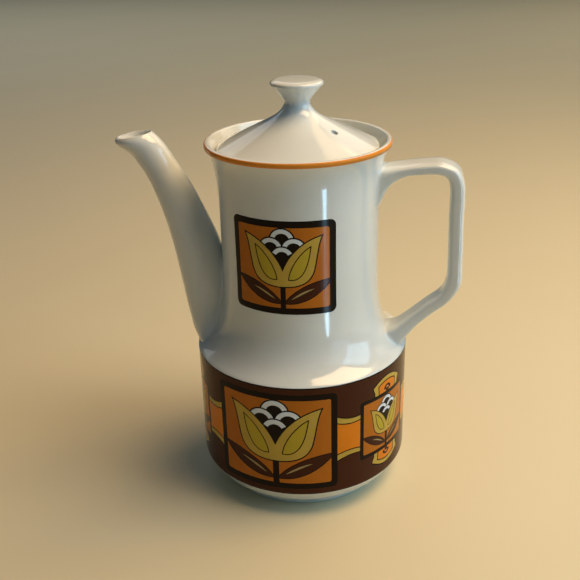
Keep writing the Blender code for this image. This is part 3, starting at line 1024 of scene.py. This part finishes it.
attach(body, "pot")
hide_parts("pot_body")
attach(spout, "pot")
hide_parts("spout")
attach(handle, "pot")
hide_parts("handle")
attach(lid, "lid")
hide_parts("lid")
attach(band, "pot")
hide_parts("base_band_transfer")
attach(neck_front, "pot")
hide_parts("neck_transfer_front")
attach(neck_back, "pot")
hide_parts("neck_transfer_back")
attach(rim_line, "pot")
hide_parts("rim_line")

# ---------------------------------------------------------------- floor, light and camera

POT_MIDDLE = (POT_AXIS_X, 0.0, 0.11)
WARM = (1.0, 0.68, 0.36)
COOL = (0.45, 0.75, 1.0)
STRIP_AZIMUTH = -46.0
STRIP_PLACE = (
    POT_AXIS_X + 0.6 * math.cos(math.radians(STRIP_AZIMUTH)),
    0.6 * math.sin(math.radians(STRIP_AZIMUTH)),
    0.002,
)


def make_floor():
    n = Nodes("pale_floor")
    soft = n.noise(5.0, 3.0)
    n.link(n.mix(soft, rgba(0.675, 0.600, 0.405), rgba(0.710, 0.635, 0.435)), "Base Color")
    n.set(Roughness=0.55)
    bm = bmesh.new()
    bmesh.ops.create_grid(bm, x_segments=2, y_segments=2, size=4.0)
    mesh = bpy.data.meshes.new("floor")
    bm.to_mesh(mesh)
    bm.free()
    mesh.materials.append(n.material)
    floor = new_object("floor", mesh)


def around_pot(azimuth, elevation, distance):
    """A place seen from the pot's middle. Azimuth 0 is +X, and -90 is towards the camera."""
    a, e = math.radians(azimuth), math.radians(elevation)
    flat = distance * math.cos(e)
    return Vector(POT_MIDDLE) + Vector((flat * math.cos(a), flat * math.sin(a), distance * math.sin(e)))


def area_light(name, place, target, size, power, colour):
    data = bpy.data.lights.new(name, "AREA")
    data.shape = "RECTANGLE"
    data.size, data.size_y = size
    data.energy = power
    data.color = colour
    light = bpy.data.objects.new(name, data)
    bpy.context.scene.collection.objects.link(light)
    light.location = place
    light.rotation_euler = (Vector(target) - Vector(place)).to_track_quat("-Z", "Y").to_euler()
    return light


def make_world():
    world = bpy.data.worlds.new("studio")
    world.use_nodes = True
    background = world.node_tree.nodes["Background"]
    background.inputs["Color"].default_value = rgba(0.50, 0.78, 1.0)
    background.inputs["Strength"].default_value = 0.058
    bpy.context.scene.world = world


def make_lights():
    """A warm key high on the handle's side, a cool window low on it, and a faint cool fill from the left.

    Two lamps light the floor behind the pot, and a strip in front of it gives the glow along the floor.
    """
    area_light("warm_key", around_pot(0, 65, 1.0), POT_MIDDLE, (0.6, 0.6), 9.1, WARM)
    area_light("warm_back", around_pot(45, 50, 1.1), POT_MIDDLE, (0.6, 0.6), 2.6, WARM)
    area_light("cool_window", around_pot(-5, 25, 0.9), POT_MIDDLE, (0.5, 0.6), 3.2, COOL)
    area_light("cool_window_front", around_pot(-30, 20, 1.1), POT_MIDDLE, (0.5, 0.9), 1.3, COOL)
    area_light("cool_fill", around_pot(-118, 14, 1.5), POT_MIDDLE, (1.2, 0.8), 0.45, COOL)
    for azimuth, power, colour in ((50, 17.0, (1.0, 0.88, 0.70)), (125, 9.5, (0.93, 0.96, 1.0))):
        far = around_pot(azimuth, 0, 2.4)
        above = far + Vector((0, 0, 1.1))
        glow = area_light(f"background_{azimuth}", above, far, (2.4, 1.8), power, colour)
        glow.visible_camera = False
    strip = area_light("floor_strip", STRIP_PLACE, POT_MIDDLE, (0.035, 0.6), 0.9, COOL)
    strip.rotation_euler = (math.pi, 0.0, math.radians(STRIP_AZIMUTH - 90))
    strip.visible_camera = False
    strip.visible_diffuse = False


def make_camera():
    data = bpy.data.cameras.new("camera")
    data.lens = 52.7586
    data.sensor_width = 36.0
    camera = bpy.data.objects.new("camera", data)
    camera.location = (0.08315, -0.43527, 0.31322)
    camera.rotation_euler = (1.1452, 0.0247, 0.1775)
    bpy.context.scene.collection.objects.link(camera)
    bpy.context.scene.camera = camera


make_floor()
make_world()
make_lights()
make_camera()
bpy.context.scene.view_settings.view_transform = "Standard"  # colours show as the materials state them
